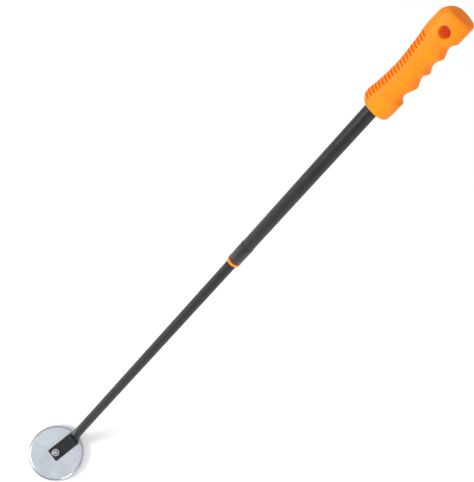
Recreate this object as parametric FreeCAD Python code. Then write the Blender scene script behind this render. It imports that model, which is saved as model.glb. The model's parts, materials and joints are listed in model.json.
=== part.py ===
import FreeCAD, Part
import math
import os

os.makedirs("parts", exist_ok=True)

# Magnetic pick-up tool: a flat magnet head on a two-stage telescoping handle.
# Millimetres. Origin: centre of the magnet's working face, +Z out of the head's back.
# The handle rises towards +X in the XZ plane; the finger grooves face -Y.

# ---- head ----
cup_d = 88.9
cup_h = 12.0
cup_wall = 2.2
cup_top_t = 2.0
cup_edge_r = 4.6
cup_inner_r = 2.4
rim_chamfer = 0.4
gap_w = 2.2
gap_recess = 0.5
gap_ring_h = 3.5
plate_t = 3.0
plate_chamfer = 0.3
magnet_hole_r = 10.0
magnet_side_gap = 0.6

# ---- stud and nut (1/4 in) ----
stud_r = 3.175
stud_seat_z = 1.2
stud_top_z = 20.8
stud_chamfer = 0.7
clearance_hole_r = 3.4
nut_af = 11.1
nut_h = 5.6
nut_chamfer_deg = 30.0
nut_land_inset = 0.2
nut_countersink = 0.8
nut_turn = 12.0            # how far the nut happens to be turned, degrees

# ---- lower tube ----
tube_angle = 56.0          # tube's rise above the magnet's plane
axis_x = 26.0              # where the tube's axis crosses the flat end's mid-plane
lower_r = 7.0
lower_wall = 1.0
flat_w = 22.0
flat_end = 8.0             # flat end's reach beyond the stud's centre
flat_corner = 1.2
fold_inner_r = 4.0
crush_len = 31.0           # from the fold to the full round
cavity_start = 0.2         # share of crush_len at which the tube opens
crush_steps = 8

# ---- upper tube, mouth and stop ----
mouth_s = 538.0            # collar's lower face, measured along the axis
upper_r = 8.5
upper_wall = 0.8
upper_end_s = 940.0
sleeve_t = 0.4
sleeve_gap = 2.0           # bare tube between the collar and the sleeve
sleeve_len = 30.0
collar_r = 9.2
collar_len = 4.4
collar_round = 1.1
collar_edge = 0.4
collar_counter_r = 7.6
collar_counter_len = 1.6
skirt_len = 26.6
skirt_chamfer = 0.25

# ---- spigot and bush ----
spigot_plug_len = 24.0
spigot_shoulder_t = 2.0
spigot_neck_r = 4.5
spigot_neck_len = 14.0
spigot_head_t = 3.0
spigot_head_r = 7.2
spigot_lead = 0.8          # bevel at each end that enters a tube
bush_end_play = 0.2
bush_slit = 2.0
stop_gap = 0.5             # bush to collar skirt, tool fully out
pin_r = 1.25
pin_drop = 10.0            # pin below the tube's end
pin_inset = 0.2            # pin ends below the tube's skin
slide_fit = 0.05           # radial, moving
seat_fit = 0.05            # radial, fixed
pin_fit = 0.03

# ---- plug ----
plug_len = 14.0
plug_head_t = 2.0

# ---- grip ----
grip_s = 836.0
grip_len = 138.3
grip_half_t = 13.4
grip_power = 2.5           # squareness of the oval section
palm_line = [
    (0.0, 15.5),
    (8.0, 17.3),
    (13.0, 17.4),
    (18.0, 16.5),
    (24.0, 15.6),
    (30.0, 14.9),
    (40.0, 13.9),
    (50.0, 13.3),
    (60.0, 13.0),
    (73.0, 13.6),
    (82.0, 14.3),
    (95.0, 15.2),
    (104.0, 16.6),
    (113.0, 16.8),
    (125.0, 16.4),
    (138.3, 16.0),
]
finger_line = [(0.0, 19.3), (14.0, 20.0), (50.0, 20.2), (71.0, 19.6), (93.0, 19.6), (114.3, 20.1), (138.3, 20.4)]
cusps = [25.4, 49.5, 71.2, 92.8, 114.3]
scallops = [(4.9, 0.63), (3.8, 1.25), (3.8, 0.84), (3.9, 1.2)]   # depth and skew of each
lower_round_palm = 10.0
lower_round = 3.5
lower_draw = 0.62           # share of the lower rounding that the section draws in
butt_round_palm = 12.5
butt_round_finger = 4.0
butt_round_face = 4.5
section_points = 24
row_overlap = 3
scallop_steps = 7
rib_first = 9.0
rib_pitch = 4.9
rib_count = 20
rib_w = 2.2
rib_depth = 1.2
rib_turn = 76.0            # how far a groove runs round the palm, each way
rib_steps = 4
hang_hole_s = 119.0
hang_hole_y = -4.5
hang_hole_r = 6.75
bore_spare = 0.5

# ---- derived ----
cup_r = cup_d / 2
plate_r = cup_r - cup_wall - gap_w
flat_t = 2 * lower_wall
rise = math.radians(tube_angle)
flat_mid_z = cup_h + flat_t / 2
fold_outer_r = fold_inner_r + flat_t
fold_s = (lower_r * math.cos(rise) - flat_t / 2) / math.sin(rise)
fold_x = axis_x + lower_r * math.sin(rise) + fold_s * math.cos(rise)
fold_set = fold_outer_r * math.tan(rise / 2)
crush_s = fold_s + fold_set
round_s = crush_s + crush_len
upper_s = mouth_s + collar_len
skirt_r = upper_r - upper_wall - seat_fit
bush_s = upper_s + skirt_len + stop_gap
lower_end_s = bush_s - bush_end_play - spigot_shoulder_t
neck_s = lower_end_s + spigot_shoulder_t
head_s = neck_s + spigot_neck_len

X_AXIS = FreeCAD.Vector(1, 0, 0)
Y_AXIS = FreeCAD.Vector(0, 1, 0)
Z_AXIS = FreeCAD.Vector(0, 0, 1)


def on_tube(shape):
    """Take a shape built along +Z (its +X is the tube's underside) onto the tilted tube axis."""
    placed = shape.copy()
    turn = FreeCAD.Rotation(Y_AXIS, 90.0 - tube_angle)
    move = FreeCAD.Vector(axis_x, 0, flat_mid_z)
    placed.Placement = FreeCAD.Placement(move, turn).multiply(placed.Placement)
    return placed


def rod(radius, start, length):
    return Part.makeCylinder(radius, length, FreeCAD.Vector(0, 0, start))


def ring(outer, inner, start, length):
    return rod(outer, start, length).cut(rod(inner, start - 1, length + 2))


def turned(points):
    """Solid of revolution about Z from (radius, height) points."""
    line = [FreeCAD.Vector(r, 0, z) for r, z in points]
    line.append(line[0])
    return Part.Face(Part.makePolygon(line)).revolve(FreeCAD.Vector(0, 0, 0), Z_AXIS, 360)


def save(shape, node):
    solid = shape.removeSplitter() if len(shape.Solids) == 1 else shape
    if not solid.isValid():
        solid = shape
    print(node, "valid", solid.isValid(), "solids", len(solid.Solids), "mm3", round(solid.Volume, 1))
    solid.exportStep("parts/" + node + ".step")


# ---- magnet cup ----
def circle_edges(shape, radius, height):
    found = []
    for edge in shape.Edges:
        if not isinstance(edge.Curve, Part.Circle):
            continue
        if abs(edge.Curve.Radius - radius) < 0.01 and abs(edge.Curve.Center.z - height) < 0.01:
            found.append(edge)
    return found


cup = Part.makeCylinder(cup_r, cup_h)
cup = cup.makeFillet(cup_edge_r, circle_edges(cup, cup_r, cup_h))
cup = cup.makeChamfer(rim_chamfer, circle_edges(cup, cup_r, 0.0))
hollow = Part.makeCylinder(cup_r - cup_wall, cup_h - cup_top_t)
hollow = hollow.makeFillet(cup_inner_r, circle_edges(hollow, cup_r - cup_wall, cup_h - cup_top_t))
cup = cup.cut(hollow).cut(rod(clearance_hole_r, 0, 2 * cup_h))
save(cup, "magnet_cup")

# ---- magnet, face plate and gap ring ----
save(ring(plate_r - magnet_side_gap, magnet_hole_r, plate_t, cup_h - cup_top_t - plate_t), "ring_magnet")

plate = Part.makeCylinder(plate_r, plate_t)
plate = plate.makeChamfer(plate_chamfer, circle_edges(plate, plate_r, 0.0))
plate = plate.cut(rod(stud_r + pin_fit, stud_seat_z, plate_t))
save(plate, "pole_plate")

save(ring(cup_r - cup_wall - seat_fit, plate_r + seat_fit, gap_recess, gap_ring_h), "gap_ring")

# ---- stud and nut ----
stud = turned([
    (0, stud_seat_z),
    (stud_r, stud_seat_z),
    (stud_r, stud_top_z - stud_chamfer),
    (stud_r - stud_chamfer, stud_top_z),
    (0, stud_top_z),
])
save(stud, "head_stud")

nut_z = cup_h + flat_t
corner_r = nut_af / math.sqrt(3)
hexagon = []
for k in range(7):
    turn = math.radians(60 * k + nut_turn)
    hexagon.append(FreeCAD.Vector(corner_r * math.cos(turn), corner_r * math.sin(turn), nut_z))
nut = Part.Face(Part.makePolygon(hexagon)).extrude(FreeCAD.Vector(0, 0, nut_h))
land_r = nut_af / 2 - nut_land_inset
barrel_r = corner_r + nut_land_inset
bevel = (barrel_r - land_r) * math.tan(math.radians(nut_chamfer_deg))
barrel = turned([
    (0, nut_z),
    (land_r, nut_z),
    (barrel_r, nut_z + bevel),
    (barrel_r, nut_z + nut_h - bevel),
    (land_r, nut_z + nut_h),
    (0, nut_z + nut_h),
])
nut = nut.common(barrel)
mouth_z = nut_z + nut_h - nut_countersink
mouth = Part.makeCone(stud_r + pin_fit, stud_r + nut_countersink, nut_countersink, FreeCAD.Vector(0, 0, mouth_z))
nut = nut.cut(rod(stud_r + pin_fit, nut_z - 1, nut_h + 2)).cut(mouth)
save(nut, "head_nut")


# ---- lower tube ----
def flat_section(half_w, half_t, centre_x, s, blend):
    """Closed section across the tube axis: a thin slot shape at blend 0, a circle at blend 1."""
    diagonal = math.sqrt(0.5)
    corner_y = half_w - half_t * (1 - diagonal * blend)
    corner_x = half_t * (1 - (1 - diagonal) * blend)

    def at(x, y):
        return FreeCAD.Vector(centre_x + x, y, s)

    def edge(a, b, c):
        if abs((b - a).cross(c - a).Length) < 1e-6:
            return Part.makeLine(a, c)
        return Part.Arc(a, b, c).toShape()

    edges = [
        edge(at(corner_x, -corner_y), at(half_t, 0), at(corner_x, corner_y)),
        edge(at(corner_x, corner_y), at(0, half_w), at(-corner_x, corner_y)),
        edge(at(-corner_x, corner_y), at(-half_t, 0), at(-corner_x, -corner_y)),
        edge(at(-corner_x, -corner_y), at(0, -half_w), at(corner_x, -corner_y)),
    ]
    return Part.Wire(edges)


def crushed(shrink, first):
    """Tapered part between the flat and the round tube, with its skin moved in by shrink."""
    wires = []
    for k in range(crush_steps + 1):
        share = first + (1 - first) * k / crush_steps
        blend = share * share * (3 - 2 * share)
        half_t = flat_t / 2 + (lower_r - flat_t / 2) * blend
        half_w = flat_w / 2 + (lower_r - flat_w / 2) * blend
        centre = lower_r - half_t
        wires.append(flat_section(half_w - shrink, half_t - shrink, centre, crush_s + crush_len * share, blend))
    return Part.makeLoft(wires, True, False)


def straight(radius, length):
    disc = Part.Face(flat_section(radius, radius, 0, round_s, 1.0))
    return disc.extrude(FreeCAD.Vector(0, 0, length))


round_len = lower_end_s - round_s
outer = crushed(0.0, 0.0).fuse(straight(lower_r, round_len))
inner = crushed(lower_wall, cavity_start).fuse(straight(lower_r - lower_wall, round_len + 1))
tube = on_tube(outer.cut(inner))

slot = flat_section(flat_w / 2, flat_t / 2, 0, 0, 0.0)
slot.rotate(FreeCAD.Vector(0, 0, 0), Y_AXIS, 90)
slot.translate(FreeCAD.Vector(fold_x - fold_set, 0, flat_mid_z))
slot_face = Part.Face(slot)
flat = slot_face.extrude(FreeCAD.Vector(-(fold_x - fold_set + flat_end), 0, 0))
fold_centre = FreeCAD.Vector(fold_x - fold_set, 0, cup_h + fold_outer_r)
fold = slot_face.revolve(fold_centre, FreeCAD.Vector(0, -1, 0), tube_angle)
half = flat_w / 2
plan = Part.Face(Part.makePolygon([
    FreeCAD.Vector(-flat_end, -half + flat_corner, cup_h - 1),
    FreeCAD.Vector(-flat_end + flat_corner, -half, cup_h - 1),
    FreeCAD.Vector(fold_x, -half, cup_h - 1),
    FreeCAD.Vector(fold_x, half, cup_h - 1),
    FreeCAD.Vector(-flat_end + flat_corner, half, cup_h - 1),
    FreeCAD.Vector(-flat_end, half - flat_corner, cup_h - 1),
    FreeCAD.Vector(-flat_end, -half + flat_corner, cup_h - 1),
])).extrude(FreeCAD.Vector(0, 0, flat_t + 2))
flat = flat.common(plan).cut(rod(clearance_hole_r, 0, 2 * cup_h))
pin_s = lower_end_s - pin_drop
pin_hole = Part.makeCylinder(pin_r + pin_fit, 4 * lower_r, FreeCAD.Vector(0, -2 * lower_r, pin_s), Y_AXIS)
tube = tube.fuse(fold).fuse(flat).cut(on_tube(pin_hole))
save(tube, "lower_tube")

# ---- spigot, pin and bush ----
plug_r = lower_r - lower_wall - seat_fit
spigot = turned([
    (0, lower_end_s - spigot_plug_len),
    (plug_r - spigot_lead, lower_end_s - spigot_plug_len),
    (plug_r, lower_end_s - spigot_plug_len + spigot_lead),
    (plug_r, lower_end_s),
    (lower_r, lower_end_s),
    (lower_r, neck_s),
    (spigot_neck_r, neck_s),
    (spigot_neck_r, head_s),
    (spigot_head_r, head_s),
    (spigot_head_r, head_s + spigot_head_t - spigot_lead),
    (spigot_head_r - spigot_lead, head_s + spigot_head_t),
    (0, head_s + spigot_head_t),
])
save(on_tube(spigot.cut(pin_hole)), "lock_spigot")

pin_len = 2 * (lower_r - pin_inset)
pin = Part.makeCylinder(pin_r, pin_len, FreeCAD.Vector(0, -pin_len / 2, pin_s), Y_AXIS)
save(on_tube(pin), "spigot_pin")

bush_len = spigot_neck_len - 2 * bush_end_play
bush_r = upper_r - upper_wall - slide_fit
bush = ring(bush_r, spigot_neck_r + slide_fit, bush_s, bush_len)
slit = Part.makeBox(2 * bush_r, bush_slit, bush_len + 2, FreeCAD.Vector(0, -bush_slit / 2, bush_s - 1))
save(on_tube(bush.cut(slit)), "friction_bush")

# ---- upper tube, sleeve, collar and plug ----
save(on_tube(ring(upper_r, upper_r - upper_wall, upper_s, upper_end_s - upper_s)), "upper_tube")

sleeve = ring(upper_r + seat_fit + sleeve_t, upper_r + seat_fit, upper_s + sleeve_gap, sleeve_len)
save(on_tube(sleeve), "end_sleeve")

guide_r = lower_r + slide_fit
round_mid = collar_round * (1 - math.sqrt(0.5))
collar = turned([
    (guide_r, mouth_s + collar_counter_len),
    (collar_counter_r, mouth_s + collar_counter_len),
    (collar_counter_r, mouth_s),
    (collar_r - collar_round, mouth_s),
    (collar_r - round_mid, mouth_s + round_mid),
    (collar_r, mouth_s + collar_round),
    (collar_r, upper_s - collar_edge),
    (collar_r - collar_edge, upper_s),
    (skirt_r, upper_s),
    (skirt_r, upper_s + skirt_len - skirt_chamfer),
    (skirt_r - skirt_chamfer, upper_s + skirt_len),
    (guide_r, upper_s + skirt_len),
])
save(on_tube(collar), "collar_bush")

plug = rod(skirt_r, upper_end_s - plug_len, plug_len).fuse(rod(upper_r, upper_end_s, plug_head_t))
save(on_tube(plug), "tube_plug")


# ---- grip ----
def slope(line, k):
    """Rise of a side line at its station k, taken across the stations beside it."""
    s0, h0 = line[max(k - 1, 0)]
    s1, h1 = line[min(k + 1, len(line) - 1)]
    return (h1 - h0) / (s1 - s0)


def read_line(line, s):
    """Height of a side line at s, on a smooth curve through its stations."""
    k = 0
    while k < len(line) - 2 and s > line[k + 1][0]:
        k += 1
    (s0, h0), (s1, h1) = line[k], line[k + 1]
    span = s1 - s0
    t = (s - s0) / span
    ease = t * t * (3 - 2 * t)
    bend = slope(line, k) * t * (1 - t) ** 2 - slope(line, k + 1) * t * t * (1 - t)
    return h0 + (h1 - h0) * ease + span * bend


def end_loss(distance, radius):
    """How far a rounded corner has drawn in, at a distance from the end."""
    if distance >= radius:
        return 0.0
    return radius - math.sqrt(radius ** 2 - (radius - distance) ** 2)


def scallop(s):
    for s0, s1, (depth, skew) in zip(cusps, cusps[1:], scallops):
        if s0 <= s <= s1:
            share = (s - s0) / (s1 - s0)
            return depth * math.sin(math.pi * share ** skew)
    return 0.0


def grip_reach(s):
    """Palm side, finger side and half thickness of the grip at s."""
    from_butt = grip_len - s
    low = lower_draw * end_loss(s, lower_round)
    low_palm = lower_draw * end_loss(s, lower_round_palm)
    palm = read_line(palm_line, s) - low_palm - end_loss(from_butt, butt_round_palm)
    finger = read_line(finger_line, s) - low - scallop(s) - end_loss(from_butt, butt_round_finger)
    face = grip_half_t - low - end_loss(from_butt, butt_round_face)
    return palm, finger, face


def rim_point(s, turn, shrink=0.0):
    """Point on the oval at s, counted round from the palm's crown, moved in by shrink."""
    palm, finger, face = grip_reach(s)
    c = math.cos(turn)
    d = math.sin(turn)
    reach = palm if c > 0 else finger
    y = math.copysign((reach - shrink) * abs(c) ** (2 / grip_power), c)
    x = math.copysign((face - shrink) * abs(d) ** (2 / grip_power), d)
    return FreeCAD.Vector(x, y, grip_s + s)


def grip_row(s):
    """Points round the oval, running past a full turn so that the skin closes smoothly."""
    count = range(-row_overlap, section_points + row_overlap + 1)
    return [rim_point(s, 2 * math.pi * k / section_points) for k in count]


def end_cap(faces, height):
    rim = []
    for face in faces:
        for edge in face.Edges:
            if all(abs(v.Point.z - height) < 1e-6 for v in edge.Vertexes):
                rim.append(edge)
    return Part.Face(Part.Wire(Part.__sortEdges__(rim)))


stations = [0.0, 0.6, 2.0, 4.0, 6.5, 12.0, 18.0, 23.0]
for s0, s1 in zip(cusps, cusps[1:]):
    for k in range(scallop_steps):
        stations.append(s0 + (s1 - s0) * k / scallop_steps)
stations += [cusps[-1], cusps[-1] + 4, cusps[-1] + 9]
for drop in (11.0, 8.0, 5.5, 3.2, 1.5, 0.4, 0.0):
    stations.append(grip_len - drop)

skin = Part.BSplineSurface()
skin.interpolate([grip_row(s) for s in stations])
around = skin.getVKnots()
quarter = section_points // 4
panels = []
for k in range(4):
    panel = skin.copy()
    first = row_overlap + k * quarter
    panel.segment(0.0, 1.0, around[first], around[first + quarter])
    panels.append(panel.toShape())
caps = [end_cap(panels, grip_s), end_cap(panels, grip_s + grip_len)]
shell = Part.makeShell(panels + caps)
shell.sewShape()
grip = Part.makeSolid(shell)
if grip.Volume < 0:
    grip.reverse()


def groove(s):
    """Thin slab round the palm, outside a core that leaves the groove its depth."""
    palm, finger, face = grip_reach(s)
    core = []
    for step in range(-rib_steps, rib_steps + 1):
        point = rim_point(s, -math.radians(rib_turn) * step / rib_steps, rib_depth)
        core.append(point - FreeCAD.Vector(0, 0, rib_w / 2))
    far_x = face + 4
    far_y = palm + 4
    z = core[0].z
    outside = [
        FreeCAD.Vector(-far_x, core[-1].y, z),
        FreeCAD.Vector(-far_x, far_y, z),
        FreeCAD.Vector(far_x, far_y, z),
        FreeCAD.Vector(far_x, core[0].y, z),
    ]
    return Part.Face(Part.makePolygon(core + outside + [core[0]])).extrude(FreeCAD.Vector(0, 0, rib_w))


bore_end = upper_end_s + plug_head_t + bore_spare
grip = grip.cut(rod(upper_r + seat_fit, grip_s - 1, bore_end - grip_s + 1))
hole_at = FreeCAD.Vector(-2 * grip_half_t, hang_hole_y, grip_s + hang_hole_s)
grip = grip.cut(Part.makeCylinder(hang_hole_r, 4 * grip_half_t, hole_at, X_AXIS))
grip = grip.cut([groove(rib_first + k * rib_pitch) for k in range(rib_count)])
save(on_tube(grip), "grip")
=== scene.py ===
import json
import math

import bmesh
import bpy
from mathutils import Matrix, Vector


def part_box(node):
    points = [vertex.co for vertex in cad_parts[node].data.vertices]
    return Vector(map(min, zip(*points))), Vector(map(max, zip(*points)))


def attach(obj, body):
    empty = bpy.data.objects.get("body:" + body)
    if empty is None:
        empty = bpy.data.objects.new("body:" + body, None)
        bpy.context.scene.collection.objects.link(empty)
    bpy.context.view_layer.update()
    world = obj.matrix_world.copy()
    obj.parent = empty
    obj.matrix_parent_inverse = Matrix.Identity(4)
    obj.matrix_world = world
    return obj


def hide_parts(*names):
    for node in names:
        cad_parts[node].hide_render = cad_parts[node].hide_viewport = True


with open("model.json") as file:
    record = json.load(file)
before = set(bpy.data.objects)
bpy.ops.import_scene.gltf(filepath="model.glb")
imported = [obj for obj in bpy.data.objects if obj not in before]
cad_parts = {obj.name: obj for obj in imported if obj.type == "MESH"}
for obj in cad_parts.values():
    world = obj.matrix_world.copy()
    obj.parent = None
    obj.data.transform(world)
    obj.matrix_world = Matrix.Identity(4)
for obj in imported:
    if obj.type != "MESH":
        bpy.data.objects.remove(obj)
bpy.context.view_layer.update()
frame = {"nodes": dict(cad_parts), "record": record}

# ---------------------------------------------------------------- places read from the frame
joints = {joint["name"]: joint for joint in frame["record"]["behaviour"]["joints"]}
AXIS = Vector(joints["tube_twist"]["axis"]).normalized()
PIVOT = Vector(joints["tube_twist"]["pos_m"])
UNDER = Vector((AXIS.z, 0.0, -AXIS.x))          # across the tube, towards the ground side
ACROSS = Vector((0.0, 1.0, 0.0))
TUBE = Matrix((
    (UNDER.x, ACROSS.x, AXIS.x, PIVOT.x),
    (UNDER.y, ACROSS.y, AXIS.y, PIVOT.y),
    (UNDER.z, ACROSS.z, AXIS.z, PIVOT.z),
    (0.0, 0.0, 0.0, 1.0),
))


def span(node, radius):
    """Where a round node on the tube axis starts and ends, measured from the pivot."""
    low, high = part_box(node)
    reach = radius * AXIS.x
    return (low[2] + reach - PIVOT.z) / AXIS.z, (high[2] - reach - PIVOT.z) / AXIS.z


def half_width(node):
    low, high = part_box(node)
    return (high[1] - low[1]) / 2


CUP_R = (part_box("magnet_cup")[1][0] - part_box("magnet_cup")[0][0]) / 2
CUP_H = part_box("magnet_cup")[1][2]
PLATE_R = (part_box("pole_plate")[1][0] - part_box("pole_plate")[0][0]) / 2
PLATE_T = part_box("pole_plate")[1][2]
STUD_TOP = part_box("head_stud")[1][2]
NUT_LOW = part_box("head_nut")[0][2]
NUT_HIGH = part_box("head_nut")[1][2]
FLAT_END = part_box("lower_tube")[0][0]
FLAT_HALF = half_width("lower_tube")
UPPER_R = half_width("upper_tube")
SLEEVE_R = half_width("end_sleeve")
COLLAR_R = half_width("collar_bush")
LOWER_R = 0.0070
LOWER_END = span("lower_tube", LOWER_R)[1]
UPPER_START, UPPER_END = span("upper_tube", UPPER_R)
SLEEVE_START, SLEEVE_END = span("end_sleeve", SLEEVE_R)
COLLAR_START = UPPER_START - 0.0044

# ---------------------------------------------------------------- mesh helpers


def new_object(name, verts, faces, material):
    mesh = bpy.data.meshes.new(name)
    mesh.from_pydata([tuple(v) for v in verts], [], faces)
    mesh.validate()
    shaper = bmesh.new()
    shaper.from_mesh(mesh)
    bmesh.ops.remove_doubles(shaper, verts=shaper.verts, dist=1e-7)
    bmesh.ops.recalc_face_normals(shaper, faces=shaper.faces)
    shaper.to_mesh(mesh)
    shaper.free()
    for polygon in mesh.polygons:
        polygon.use_smooth = True
    mesh.materials.append(material)
    piece = bpy.data.objects.new(name, mesh)
    bpy.context.collection.objects.link(piece)
    return piece


def sharpen(piece, degrees):
    """Smooth shading that breaks at edges sharper than the angle."""
    bpy.context.view_layer.objects.active = piece
    piece.select_set(True)
    bpy.ops.object.shade_smooth_by_angle(angle=math.radians(degrees))
    piece.select_set(False)


def rounded(profile, radius, steps=5):
    """Closed (radius, height) outline with its corners rounded by an arc."""
    out = []
    count = len(profile)
    for k in range(count):
        before = Vector(profile[k - 1])
        here = Vector(profile[k])
        after = Vector(profile[(k + 1) % count])
        to_before = before - here
        to_after = after - here
        r = radius[k] if isinstance(radius, (list, tuple)) else radius
        if r <= 0:
            out.append((here.x, here.y))
            continue
        a = to_before.normalized()
        b = to_after.normalized()
        angle = a.angle(b)
        if angle > math.radians(178):
            out.append((here.x, here.y))
            continue
        set_back = min(r / math.tan(angle / 2), to_before.length * 0.49, to_after.length * 0.49)
        real = set_back * math.tan(angle / 2)
        centre = here + (a + b).normalized() * (real / math.sin(angle / 2))
        start = here + a * set_back - centre
        end = here + b * set_back - centre
        turn = start.angle_signed(end)
        for j in range(steps + 1):
            point = start.copy()
            point.rotate(Matrix.Rotation(-turn * j / steps, 2))
            out.append((centre.x + point.x, centre.y + point.y))
    return out


def lathe(name, outline, material, steps=128, matrix=None, sharp=None):
    """Closed outline of (radius, height) points turned about Z."""
    verts = []
    faces = []
    rings = []
    for r, z in outline:
        ring = []
        if abs(r) < 1e-9:
            verts.append((0, 0, z))
            ring = [len(verts) - 1] * steps
        else:
            for k in range(steps):
                turn = 2 * math.pi * k / steps
                verts.append((r * math.cos(turn), r * math.sin(turn), z))
                ring.append(len(verts) - 1)
        rings.append(ring)
    for i in range(len(rings)):
        here = rings[i]
        after = rings[(i + 1) % len(rings)]
        for k in range(steps):
            j = (k + 1) % steps
            corners = []
            for index in (here[k], here[j], after[j], after[k]):
                if index not in corners:
                    corners.append(index)
            if len(corners) > 2:
                faces.append(corners)
    piece = new_object(name, verts, faces, material)
    if matrix is not None:
        piece.data.transform(matrix)
    if sharp:
        sharpen(piece, sharp)
    return piece


def skin_rings(name, rings, material, close_start=True, close_end=True, matrix=None, sharp=None):
    """Closed rings of points joined into one skin; the ends are closed with fans."""
    verts = []
    faces = []
    count = len(rings[0])
    for ring in rings:
        verts.extend(ring)
    for i in range(len(rings) - 1):
        for k in range(count):
            j = (k + 1) % count
            faces.append((i * count + k, i * count + j, (i + 1) * count + j, (i + 1) * count + k))
    for close, first in ((close_start, 0), (close_end, (len(rings) - 1) * count)):
        if close:
            middle = sum((Vector(verts[first + k]) for k in range(count)), Vector()) / count
            verts.append(middle)
            for k in range(count):
                faces.append((first + k, first + (k + 1) % count, len(verts) - 1))
    piece = new_object(name, verts, faces, material)
    if matrix is not None:
        piece.data.transform(matrix)
    if sharp:
        sharpen(piece, sharp)
    return piece


def finish_piece(piece, body, slot, *nodes):
    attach(piece, body)
    if nodes:
        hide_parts(*nodes)


# ---------------------------------------------------------------- materials


class Nodes:
    """Short way to add and link shader nodes."""

    def __init__(self, name):
        self.material = bpy.data.materials.new(name)
        self.material.use_nodes = True
        self.tree = self.material.node_tree
        self.shader = self.tree.nodes["Principled BSDF"]
        self.place = self.tree.nodes.new("ShaderNodeTexCoord").outputs["Object"]

    def node(self, kind, inputs=None, **settings):
        made = self.tree.nodes.new("ShaderNode" + kind)
        for key, value in settings.items():
            setattr(made, key, value)
        for key, value in (inputs or {}).items():
            self.set(made.inputs[key], value)
        return made

    def set(self, socket, value):
        if isinstance(value, bpy.types.NodeSocket):
            self.tree.links.new(value, socket)
        else:
            socket.default_value = value

    def noise(self, scale, detail=4.0, rough=0.6, stretch=None, turn=None):
        source = self.place
        if stretch or turn:
            mapping = self.node("Mapping", {"Vector": source})
            if turn:
                mapping.inputs["Rotation"].default_value = turn
            if stretch:
                mapping.inputs["Scale"].default_value = stretch
            source = mapping.outputs["Vector"]
        made = self.node("TexNoise", {"Vector": source, "Scale": scale, "Detail": detail, "Roughness": rough})
        return made.outputs["Fac"]

    def span(self, value, low, high, new_low=0.0, new_high=1.0):
        made = self.node("MapRange", {0: value, 1: low, 2: high, 3: new_low, 4: new_high})
        return made.outputs[0]

    def mix(self, share, one, two):
        made = self.node("Mix", data_type="RGBA")
        self.set(made.inputs[0], share)
        self.set(made.inputs[6], one)
        self.set(made.inputs[7], two)
        return made.outputs[2]

    def maths(self, kind, one, two=0.0):
        made = self.node("Math", operation=kind)
        self.set(made.inputs[0], one)
        self.set(made.inputs[1], two)
        return made.outputs[0]

    def bump(self, height, distance, strength=1.0, normal=None):
        made = self.node("Bump", {"Height": height, "Distance": distance, "Strength": strength})
        if normal is not None:
            self.set(made.inputs["Normal"], normal)
        return made.outputs["Normal"]

    def put(self, **values):
        for key, value in values.items():
            self.set(self.shader.inputs[key.replace("_", " ")], value)


def colour(r, g, b):
    return (r, g, b, 1.0)


def grey(level):
    return colour(level, level, level)


TURN_TO_TUBE = (0.0, -math.acos(AXIS.z), 0.0)    # lines a texture's Z up with the tube


def chrome_plate():
    """Plated steel cup: satin back, polished rounded side and faint handling scratches."""
    n = Nodes("chrome_plate")
    height = n.node("SeparateXYZ", {0: n.place}).outputs[2]
    back = n.span(height, CUP_H - 0.0008, CUP_H - 0.0001)
    grain = n.noise(2600.0, 3.0, 0.6)
    smudge = n.noise(34.0, 4.0, 0.6)
    scratch = n.noise(55.0, 6.0, 0.75, stretch=(1.0, 34.0, 1.0), turn=(0, 0, 0.5))
    satin = n.span(smudge, 0.3, 0.7, 0.30, 0.40)
    gloss = n.span(smudge, 0.3, 0.7, 0.16, 0.24)
    level = n.node("Mix", data_type="FLOAT")
    n.set(level.inputs[0], back)
    n.set(level.inputs[2], gloss)
    n.set(level.inputs[3], satin)
    tone = n.mix(n.span(smudge, 0.35, 0.65), colour(0.46, 0.495, 0.54), colour(0.53, 0.56, 0.60))
    lines = n.maths("MULTIPLY", n.span(scratch, 0.66, 0.72), 0.5)
    heights = n.maths("ADD", n.maths("MULTIPLY", grain, 0.6), lines)
    n.put(Metallic=1.0, Base_Color=tone, Roughness=level.outputs[0])
    n.put(Normal=n.bump(heights, 0.00003, 0.35))
    return n.material


def brushed_nickel():
    """Ground and nickel-plated face: straight grain, with wear scratches from the nails it picks up."""
    n = Nodes("brushed_nickel")
    grain = n.noise(240.0, 5.0, 0.7, stretch=(1.0, 28.0, 1.0))
    scratch = n.noise(60.0, 6.0, 0.8, stretch=(24.0, 1.0, 1.0), turn=(0, 0, 0.9))
    blotch = n.noise(26.0, 4.0, 0.6)
    tone = n.mix(n.span(blotch, 0.3, 0.7), colour(0.46, 0.44, 0.41), colour(0.62, 0.60, 0.56))
    n.put(Metallic=1.0, Base_Color=tone)
    n.put(Roughness=n.span(grain, 0.3, 0.7, 0.26, 0.42))
    heights = n.maths("ADD", n.maths("MULTIPLY", grain, 0.5), n.span(scratch, 0.68, 0.74))
    n.put(Normal=n.bump(heights, 0.00004, 0.4))
    return n.material


def zinc():
    """Bright zinc-plated fastener with cloudy passivation."""
    n = Nodes("bright_zinc")
    cloud = n.noise(420.0, 4.0, 0.6)
    fine = n.noise(3500.0, 3.0, 0.6)
    tone = n.mix(n.span(cloud, 0.3, 0.7), colour(0.36, 0.355, 0.34), colour(0.50, 0.49, 0.47))
    n.put(Metallic=1.0, Base_Color=tone)
    n.put(Roughness=n.span(cloud, 0.3, 0.7, 0.28, 0.42))
    n.put(Normal=n.bump(fine, 0.00002, 0.3))
    return n.material


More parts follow.
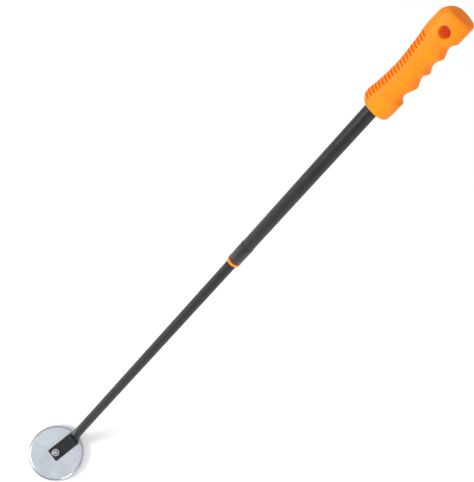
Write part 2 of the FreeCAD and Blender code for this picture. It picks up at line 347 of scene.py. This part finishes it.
def powder_coat(name, dark, light):
    """Satin charcoal powder coat: fine orange peel, slight mottling and faint rub marks along the tube."""
    n = Nodes(name)
    peel = n.noise(1500.0, 3.0, 0.55)
    mottle = n.noise(60.0, 4.0, 0.6)
    rub = n.noise(90.0, 5.0, 0.75, stretch=(14.0, 14.0, 0.35), turn=TURN_TO_TUBE)
    rubbed = n.span(rub, 0.60, 0.74, 0.0, 0.25)
    base = n.mix(n.span(mottle, 0.3, 0.7), dark, light)
    worn = colour(*[min(1.0, 2.0 * c) for c in light[:3]])
    n.put(Base_Color=n.mix(rubbed, base, worn))
    level = n.maths("SUBTRACT", n.span(mottle, 0.3, 0.7, 0.36, 0.46), n.maths("MULTIPLY", rubbed, 0.25))
    n.put(Roughness=level, Specular_IOR_Level=0.3)
    n.put(Normal=n.bump(peel, 0.00004, 0.35))
    return n.material


def moulded(name, dark, light, rough, grain_scale, grain_depth, gloss=0.5):
    """Moulded plastic or rubber: slight flow mottling and a fine spark texture."""
    n = Nodes(name)
    flow = n.noise(45.0, 4.0, 0.6)
    fine = n.noise(grain_scale, 3.0, 0.6)
    n.put(Base_Color=n.mix(n.span(flow, 0.3, 0.7), dark, light))
    n.put(Roughness=n.span(fine, 0.3, 0.7, rough - 0.05, rough + 0.05))
    n.put(Specular_IOR_Level=gloss)
    n.put(Normal=n.bump(fine, grain_depth, 0.5))
    return n.material


def sintered():
    """Dull ferrite: dark, grainy and slightly chipped."""
    n = Nodes("ferrite")
    grain = n.noise(1800.0, 5.0, 0.7)
    n.put(Base_Color=n.mix(n.span(grain, 0.3, 0.7), colour(0.012, 0.012, 0.013), colour(0.035, 0.035, 0.037)))
    n.put(Roughness=n.span(grain, 0.3, 0.7, 0.55, 0.8), Metallic=0.2)
    n.put(Normal=n.bump(grain, 0.00006, 0.6))
    return n.material


ORANGE_DARK = colour(0.90, 0.205, 0.001)
ORANGE_LIGHT = colour(0.97, 0.245, 0.002)

CHROME = chrome_plate()
NICKEL = brushed_nickel()
ZINC = zinc()
FERRITE = sintered()
FILLER = moulded("black_filler", grey(0.006), grey(0.014), 0.6, 1200.0, 0.00004)
# Painted shade: the lower tube wears the same charcoal coat as the handle tube, given a darker base colour so
# that its flat tab reads near black.
COAT_LOW_PAINTED_DARKER = powder_coat("charcoal_coat", colour(0.0085, 0.0088, 0.0096), colour(0.013, 0.0133, 0.0145))
COAT_HIGH = powder_coat("charcoal_coat_handle", colour(0.010, 0.0103, 0.0115), colour(0.015, 0.0154, 0.0172))
SLEEVE_DARK = colour(0.008, 0.0083, 0.0092)
SLEEVE_LIGHT = colour(0.012, 0.0124, 0.0138)
SLEEVE_BLACK = moulded("black_sleeve", SLEEVE_DARK, SLEEVE_LIGHT, 0.36, 1800.0, 0.00003)
NYLON = moulded("natural_nylon", colour(0.62, 0.60, 0.54), colour(0.70, 0.68, 0.62), 0.42, 900.0, 0.00003)
PLUG_BLACK = moulded("black_plug", grey(0.02), grey(0.03), 0.5, 900.0, 0.00003)
COLLAR_ORANGE = moulded("collar_orange", ORANGE_DARK, ORANGE_LIGHT, 0.38, 1500.0, 0.00002, gloss=0.35)
GRIP_ORANGE = moulded("grip_orange", ORANGE_DARK, ORANGE_LIGHT, 0.55, 1700.0, 0.00006, gloss=0.22)

# ---------------------------------------------------------------- head
CUP_WALL = 0.0022
CUP_FLOOR = CUP_H - 0.0020
CUP_EDGE = 0.0046
HOLE_R = 0.0034
STUD_R = 0.003175


def cup_shell():
    outline = [
        (HOLE_R, CUP_H), (CUP_R, CUP_H), (CUP_R, 0.0),
        (CUP_R - CUP_WALL, 0.0), (CUP_R - CUP_WALL, CUP_FLOOR), (HOLE_R, CUP_FLOOR),
    ]
    corners = [0.0001, CUP_EDGE, 0.0004, 0.0003, 0.0024, 0.0]
    soft = rounded(outline, corners, 12)
    piece = lathe("cup_shell", soft, CHROME, 192, sharp=50)
    finish_piece(piece, "head", "chrome_cup", "magnet_cup")


def face_plate():
    low = 0.0012
    outline = [
        (0.0, 0.0), (PLATE_R * 0.5, 0.0), (PLATE_R, 0.0), (PLATE_R, PLATE_T),
        (STUD_R + 0.00003, PLATE_T), (STUD_R + 0.00003, low), (0.0, low),
    ]
    soft = rounded(outline, [0, 0, 0.0003, 0.0002, 0, 0, 0], 4)
    piece = lathe("face_plate", soft, NICKEL, 160, sharp=40)
    finish_piece(piece, "head", "nickel_face", "pole_plate")


def stud_end():
    """Quarter-inch stud: rolled thread drawn as close rings, with a domed end."""
    r = STUD_R
    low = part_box("head_stud")[0][2]
    pitch = 0.00127
    root = r - 0.00060
    outline = [(0.0, low), (r, low), (r, CUP_H)]
    z = CUP_H
    while z + pitch < STUD_TOP - 0.0006:
        outline += [(root, z + pitch * 0.45), (root, z + pitch * 0.55), (r, z + pitch * 0.95), (r, z + pitch)]
        z += pitch
    outline += [(r - 0.0007, STUD_TOP - 0.0002), (r - 0.0012, STUD_TOP), (0.0, STUD_TOP)]
    piece = lathe("stud_end", outline, ZINC, 64, sharp=35)
    finish_piece(piece, "head", "zinc_steel", "head_stud")


def round_point(r, turn, z):
    return (r * math.cos(turn), r * math.sin(turn), z)


def hex_nut():
    """Hex nut with chamfered corners, so each flat ends in a curved line, and a countersunk bore."""
    flats = 0.0111
    bore = STUD_R + 0.00003
    land = flats / 2 - 0.0001
    slope = math.tan(math.radians(28))
    turn_by = math.radians(12)
    steps = 144
    rings = []
    for low in (False, True):
        face = NUT_LOW if low else NUT_HIGH
        sign = 1.0 if low else -1.0
        inner = [(bore, 0.0007), (bore + 0.0007, 0.0), (land - 0.0012, 0.0), (land, 0.0)]
        if not low:
            order = inner
        else:
            order = list(reversed(inner))
        side = []
        for k in range(steps):
            turn = 2 * math.pi * k / steps
            local = (turn + math.radians(30)) % math.radians(60) - math.radians(30)
            reach = flats / 2 / math.cos(local)
            reach = min(reach, flats / 2 * 1.135)
            drop = max(0.0, (reach - land) * slope)
            side.append(round_point(reach, turn + turn_by, face + sign * drop))
        flat_rings = []
        for r, down in order:
            z = face + sign * down
            flat_rings.append([round_point(r, 2 * math.pi * k / steps + turn_by, z) for k in range(steps)])
        rings += flat_rings + [side] if not low else [side] + flat_rings
    rings.append(rings[0])
    piece = skin_rings("hex_nut", rings, ZINC, False, False, sharp=24)
    finish_piece(piece, "head", "zinc_steel", "head_nut")


# ---------------------------------------------------------------- lower tube
FLAT_T = 0.0020
FOLD_IN = 0.0040
CRUSH = 0.031
RING_POINTS = 72


def slot_ring(half_w, half_t, centre, s, blend):
    """Section across the tube: a thin slot at blend 0, a circle at blend 1."""
    ring = []
    straight = half_w - half_t
    bend = 1 / 2.2                  # share of the turn at which the slot's round ends begin
    for k in range(RING_POINTS):
        turn = 2 * math.pi * k / RING_POINTS
        c, d = math.cos(turn), math.sin(turn)
        if abs(c) < bend:
            slot_y = (straight / bend + half_t) * c
            slot_x = math.copysign(half_t, d)
        else:
            sweep = math.pi / 2 * (abs(c) - bend) / (1 - bend)
            slot_y = math.copysign(straight + half_t * bend + half_t * (1 - bend) * math.sin(sweep), c)
            slot_x = math.copysign(half_t * math.cos(sweep), d)
        ring.append(Vector((
            centre + slot_x * (1 - blend) + half_t * d * blend,
            slot_y * (1 - blend) + half_w * c * blend,
            s,
        )))
    return ring


def lower_tube():
    """Tube with its end crushed flat and folded; the skin follows the fold without a break."""
    rise = math.asin(AXIS.z)
    flat_mid = CUP_H + FLAT_T / 2
    fold_out = FOLD_IN + FLAT_T
    base_s = (flat_mid - PIVOT.z) / AXIS.z                        # axis crosses the flat's mid-plane
    base = PIVOT + AXIS * base_s
    fold_s = (LOWER_R * math.cos(rise) - FLAT_T / 2) / math.sin(rise)
    fold_x = base.x + LOWER_R * math.sin(rise) + fold_s * math.cos(rise)
    set_back = fold_out * math.tan(rise / 2)
    rings = []
    turn_flat = Matrix.Rotation(math.pi / 2, 4, "Y")

    def flat_at(x, shrink=0.0, inset=0.0):
        ring = slot_ring(FLAT_HALF - shrink, FLAT_T / 2 - inset, 0.0, 0.0, 0.0)
        return [Matrix.Translation((x, 0, flat_mid)) @ (turn_flat @ point) for point in ring]

    start = fold_x - set_back
    rings.append(flat_at(FLAT_END + 0.0007, 0.0012, 0.00085))
    rings.append(flat_at(FLAT_END, 0.0012, 0.00055))
    rings.append(flat_at(FLAT_END, 0.0010, 0.00015))
    rings.append(flat_at(FLAT_END + 0.0002, 0.0006, 0.0))
    rings.append(flat_at(FLAT_END + 0.0008, 0.0001, 0.0))
    for k in range(9):
        rings.append(flat_at(FLAT_END + 0.0016 + (start - FLAT_END - 0.0016) * k / 8))
    centre = Vector((start, 0, CUP_H + fold_out))
    for k in range(1, 9):
        turn = Matrix.Translation(centre) @ Matrix.Rotation(-rise * k / 8, 4, "Y") @ Matrix.Translation(-centre)
        rings.append([turn @ point for point in flat_at(start)])
    crush_s = base_s + fold_s + set_back
    steps = 26
    for k in range(1, steps + 1):
        share = k / steps
        blend = share * share * (3 - 2 * share)
        half_t = FLAT_T / 2 + (LOWER_R - FLAT_T / 2) * blend
        half_w = FLAT_HALF + (LOWER_R - FLAT_HALF) * blend
        ring = slot_ring(half_w, half_t, LOWER_R - half_t, crush_s + CRUSH * share, blend)
        rings.append([TUBE @ point for point in ring])
    round_s = crush_s + CRUSH
    for k in range(1, 13):
        ring = slot_ring(LOWER_R, LOWER_R, 0.0, round_s + (LOWER_END - 0.0003 - round_s) * k / 12, 1.0)
        rings.append([TUBE @ point for point in ring])
    inner = LOWER_R - 0.001
    for r, s in ((LOWER_R - 0.0002, LOWER_END), (inner, LOWER_END), (inner, LOWER_END - 0.02)):
        rings.append([TUBE @ point for point in slot_ring(r, r, 0.0, s, 1.0)])
    piece = skin_rings("lower_tube_skin", rings, COAT_LOW_PAINTED_DARKER, sharp=40)
    finish_piece(piece, "head", "charcoal_tube", "lower_tube")


# ---------------------------------------------------------------- handle tubes
def upper_tube():
    inner = UPPER_R - 0.0008
    outline = rounded([
        (inner, UPPER_START), (UPPER_R, UPPER_START), (UPPER_R, UPPER_END), (inner, UPPER_END),
    ], 0.0002, 3)
    piece = lathe("upper_tube_skin", outline, COAT_HIGH, 96, TUBE, sharp=40)
    finish_piece(piece, "handle", "charcoal_tube", "upper_tube")


def end_sleeve():
    inner = UPPER_R + 0.00005
    outline = rounded([
        (inner, SLEEVE_START), (SLEEVE_R, SLEEVE_START), (SLEEVE_R, SLEEVE_END), (inner, SLEEVE_END),
    ], 0.0002, 3)
    piece = lathe("mouth_sleeve", outline, SLEEVE_BLACK, 96, TUBE, sharp=40)
    finish_piece(piece, "handle", "black_plastic", "end_sleeve")


def collar():
    bore = LOWER_R + 0.00005
    skirt = UPPER_R - 0.0008 - 0.00005
    outline = [
        (bore, COLLAR_START + 0.0016), (0.0076, COLLAR_START + 0.0016), (0.0076, COLLAR_START),
        (COLLAR_R, COLLAR_START), (COLLAR_R, UPPER_START), (skirt, UPPER_START),
        (skirt, UPPER_START + 0.0266), (bore, UPPER_START + 0.0266),
    ]
    soft = rounded(outline, [0, 0, 0.0003, 0.0011, 0.0005, 0, 0.0002, 0.0001], 6)
    piece = lathe("collar_ring", soft, COLLAR_ORANGE, 96, TUBE, sharp=40)
    finish_piece(piece, "handle", "orange_plastic", "collar_bush")


# ---------------------------------------------------------------- grip
GRIP_LEN = 0.1383
GRIP_START = UPPER_END - 0.104
GRIP_FACE = 0.0134
PALM = [
    (0.0, 15.5), (8.0, 17.3), (13.0, 17.4), (18.0, 16.5), (24.0, 15.6), (30.0, 14.9), (40.0, 13.9), (50.0, 13.3),
    (60.0, 13.0), (73.0, 13.6), (82.0, 14.3), (95.0, 15.2), (104.0, 16.6), (113.0, 16.8), (125.0, 16.4),
    (138.3, 16.0),
]
FINGER = [(0.0, 19.3), (14.0, 20.0), (50.0, 20.2), (71.0, 19.6), (93.0, 19.6), (114.3, 20.1), (138.3, 20.4)]
CUSPS = [25.4, 49.5, 71.2, 92.8, 114.3]
SCALLOPS = [(4.9, 0.63), (3.8, 1.25), (3.8, 0.84), (3.9, 1.2)]
RIB_FIRST, RIB_PITCH, RIB_COUNT = 9.0, 4.9, 20
RIB_DEPTH = 2.0
RIB_REACH = 10.0
RIB_FLAT, RIB_HALF = 0.70, 1.15
HANG_S, HANG_Y, HANG_R = 119.0, -4.5, 6.75
LOW_DRAW, LOW_ROUND, LOW_ROUND_PALM = 0.62, 3.5, 10.0
BUTT_ROUND_PALM, BUTT_ROUND_FINGER, BUTT_ROUND_FACE = 12.5, 4.0, 4.5
HANG_TAPER = 0.9                # the hole is moulded a little narrower at the underside


def ease(share):
    return share * share * (3 - 2 * share)


def slope(line, k):
    s0, h0 = line[max(k - 1, 0)]
    s1, h1 = line[min(k + 1, len(line) - 1)]
    return (h1 - h0) / (s1 - s0)


def read_line(line, s):
    """Height of a side line at s, on a smooth curve through its stations."""
    k = 0
    while k < len(line) - 2 and s > line[k + 1][0]:
        k += 1
    (s0, h0), (s1, h1) = line[k], line[k + 1]
    t = (s - s0) / (s1 - s0)
    bend = slope(line, k) * t * (1 - t) ** 2 - slope(line, k + 1) * t * t * (1 - t)
    return h0 + (h1 - h0) * ease(t) + (s1 - s0) * bend


def end_loss(distance, radius):
    if distance >= radius:
        return 0.0
    return radius - math.sqrt(max(0.0, radius ** 2 - (radius - distance) ** 2))


def scallop(s):
    """Finger hollow at s. The crests between hollows are softened over a millimetre or so."""
    depth = 0.0
    for s0, s1, (deep, skew) in zip(CUSPS, CUSPS[1:], SCALLOPS):
        if s0 <= s <= s1:
            depth = deep * math.sin(math.pi * ((s - s0) / (s1 - s0)) ** skew)
    return depth


def soft_scallop(s):
    return sum(scallop(s + d) for d in (-0.4, -0.2, 0.0, 0.2, 0.4)) / 5


def grip_point(s, turn):
    """Point of the grip's skin in mm: s along it, turn round it from the palm's crown."""
    from_butt = GRIP_LEN * 1000 - s
    low = LOW_DRAW * end_loss(s, LOW_ROUND)
    low_palm = LOW_DRAW * end_loss(s, LOW_ROUND_PALM)
    palm = read_line(PALM, s) - low_palm - end_loss(from_butt, BUTT_ROUND_PALM)
    finger = read_line(FINGER, s) - low - end_loss(from_butt, BUTT_ROUND_FINGER)
    face = GRIP_FACE * 1000 - low - end_loss(from_butt, BUTT_ROUND_FACE)
    c, d = math.cos(turn), math.sin(turn)
    hollow = soft_scallop(s)
    if c > 0:
        reach = palm
    else:
        reach = finger - hollow * ease(min(1.0, -c * 1.6))
    y = math.copysign(reach * abs(c) ** 0.8, c)
    x = math.copysign(face * abs(d) ** 0.8, d)
    if c > 0:
        groove = 0.0
        for k in range(RIB_COUNT):
            away = abs(s - RIB_FIRST - k * RIB_PITCH)
            if away < RIB_HALF:
                groove = ease(min(1.0, (RIB_HALF - away) / (RIB_HALF - RIB_FLAT)))
        reach_in = max(0.0, min(1.0, (RIB_REACH - (palm - y)) / 2.0))
        cut = RIB_DEPTH * groove * ease(reach_in)
        length = math.hypot(x, y)
        x -= x / length * cut
        y -= y / length * cut
    return Vector((x / 1000, y / 1000, s / 1000))


def grip():
    around = 160
    last_rise = GRIP_LEN * 1000 - BUTT_ROUND_PALM
    fine = [0.12 * k for k in range(6)] + [0.8 + 0.3 * k for k in range(15)]
    fine += [5.3 + 0.5 * k for k in range(int((last_rise - 5.3) / 0.5))]
    for k in range(RIB_COUNT):
        fine += [RIB_FIRST + RIB_PITCH * k + d for d in (-1.15, -1.0, -0.85, -0.7, 0.7, 0.85, 1.0, 1.15)]
    fine += [s + d for s in CUSPS for d in (-0.6, -0.4, -0.2, 0.0, 0.2, 0.4, 0.6)]
    fine = sorted(set(round(s, 3) for s in fine if s < last_rise))
    for k in range(29):
        fine.append(GRIP_LEN * 1000 - BUTT_ROUND_PALM * (1 - math.sin(math.pi / 2 * k / 28)))
    rings = []
    bore = UPPER_R * 1000 + 0.05
    depth = (UPPER_END + 0.0025 - GRIP_START) * 1000
    for r, z in ((bore, depth), (bore, 0.6), (bore + 0.6, 0.0)):
        turns = [2 * math.pi * k / around for k in range(around)]
        rings.append([Vector((r * math.sin(turn), r * math.cos(turn), z)) / 1000 for turn in turns])
    for s in fine:
        rings.append([grip_point(s, 2 * math.pi * k / around) for k in range(around)])
    last = rings[-1]
    middle = sum(last, Vector()) / around
    for share in (0.92, 0.7, 0.4, 0.15):
        rings.append([middle + (point - middle) * share for point in last])
    piece = skin_rings("grip_moulding", rings, GRIP_ORANGE)
    cutter_outline = []
    face = GRIP_FACE
    lip = 0.0003
    r = HANG_R / 1000
    for k in range(7):
        turn = math.pi / 2 * k / 6
        cutter_outline.append((r + lip * (1 - math.cos(turn)), face - lip + lip * math.sin(turn) - 0.0002))
    cutter_outline.append((r + lip + 0.0008, face + 0.004))
    front = [(a, -b) for a, b in cutter_outline]
    under = [(a - HANG_TAPER / 1000, b) for a, b in cutter_outline]
    outline = [(0.0, face + 0.004)] + list(reversed(under)) + front + [(0.0, -face - 0.004)]
    cutter = lathe("hang_cutter", outline, GRIP_ORANGE, 96)
    hang_at = Matrix.Translation((0, HANG_Y / 1000, HANG_S / 1000))
    cutter.data.transform(hang_at @ Matrix.Rotation(math.pi / 2, 4, "Y"))
    cut = piece.modifiers.new("hang_hole", "BOOLEAN")
    cut.operation = "DIFFERENCE"
    cut.solver = "EXACT"
    cut.object = cutter
    bpy.context.view_layer.objects.active = piece
    piece.select_set(True)
    bpy.ops.object.modifier_apply(modifier=cut.name)
    piece.select_set(False)
    bpy.data.objects.remove(cutter)
    piece.data.transform(TUBE @ Matrix.Translation((0, 0, GRIP_START)))
    sharpen(piece, 45)
    finish_piece(piece, "handle", "orange_rubber", "grip")


# ---------------------------------------------------------------- build
cup_shell()
face_plate()
stud_end()
hex_nut()
lower_tube()
upper_tube()
end_sleeve()
collar()
grip()

carried = {
    "ring_magnet": FERRITE, "gap_ring": FILLER, "lock_spigot": NYLON, "spigot_pin": ZINC,
    "friction_bush": NYLON, "tube_plug": PLUG_BLACK,
}
for node, material in carried.items():
    mesh = frame["nodes"][node].data
    mesh.materials.clear()
    mesh.materials.append(material)

# ---------------------------------------------------------------- floor, light and camera
FLOOR_HALF = 12.0
FLOOR_Z = -0.0002               # a hair under the magnet, so that no two faces share a plane
SKY_LOW, SKY_HIGH = 0.35, 1.15


def floor():
    mesh = bpy.data.meshes.new("floor")
    corners = [(-1, -1), (1, -1), (1, 1), (-1, 1)]
    mesh.from_pydata([(x * FLOOR_HALF, y * FLOOR_HALF, FLOOR_Z) for x, y in corners], [], [(0, 1, 2, 3)])
    n = Nodes("pale_floor")
    n.put(Base_Color=colour(0.92, 0.92, 0.92), Roughness=0.9, Specular_IOR_Level=0.1)
    mesh.materials.append(n.material)
    piece = bpy.data.objects.new("floor", mesh)
    bpy.context.collection.objects.link(piece)


def lamp(name, place, target, size, power):
    light = bpy.data.lights.new(name, "AREA")
    light.shape = "RECTANGLE"
    light.size, light.size_y = size
    light.energy = power
    piece = bpy.data.objects.new(name, light)
    piece.location = place
    piece.rotation_euler = (Vector(target) - Vector(place)).to_track_quat("-Z", "Y").to_euler()
    bpy.context.collection.objects.link(piece)


def sky():
    """Studio surround: dark near the horizon, bright overhead."""
    world = bpy.data.worlds.new("studio")
    world.use_nodes = True
    tree = world.node_tree
    place = tree.nodes.new("ShaderNodeTexCoord")
    parts = tree.nodes.new("ShaderNodeSeparateXYZ")
    ramp = tree.nodes.new("ShaderNodeMapRange")
    tree.links.new(place.outputs["Generated"], parts.inputs[0])
    tree.links.new(parts.outputs[2], ramp.inputs[0])
    for socket, value in ((1, 0.40), (2, 0.92), (3, SKY_LOW), (4, SKY_HIGH)):
        ramp.inputs[socket].default_value = value
    back = tree.nodes["Background"]
    back.inputs["Color"].default_value = colour(0.97, 0.985, 1.0)
    tree.links.new(ramp.outputs[0], back.inputs["Strength"])
    bpy.context.scene.world = world


CAMERA_PLACE = (0.05239, -0.1812, 1.61585)
CAMERA_RIGHT = (0.768792, -0.633543, 0.087069)
CAMERA_DOWN = (-0.591142, -0.755979, -0.281153)
CAMERA_AHEAD = (0.243945, 0.164678, -0.955705)
CAMERA_FOV_WIDTH = 27.967


def camera():
    data = bpy.data.cameras.new("camera")
    data.sensor_fit = "HORIZONTAL"
    data.sensor_width = 36.0
    data.lens = 18.0 / math.tan(math.radians(CAMERA_FOV_WIDTH / 2))
    piece = bpy.data.objects.new("camera", data)
    right, down, ahead = Vector(CAMERA_RIGHT), Vector(CAMERA_DOWN), Vector(CAMERA_AHEAD)
    turn = Matrix((right, -down, -ahead)).transposed().to_4x4()
    piece.matrix_world = Matrix.Translation(CAMERA_PLACE) @ turn
    bpy.context.collection.objects.link(piece)
    bpy.context.scene.camera = piece


floor()
sky()
lamp("key", (-1.8, 1.3, 1.7), (0.3, 0.0, 0.4), (1.2, 1.2), 60.0)
lamp("fill", (-0.6, -2.4, 1.3), (0.3, 0.0, 0.4), (1.2, 1.2), 25.0)
camera()
bpy.context.scene.view_settings.view_transform = "Standard"
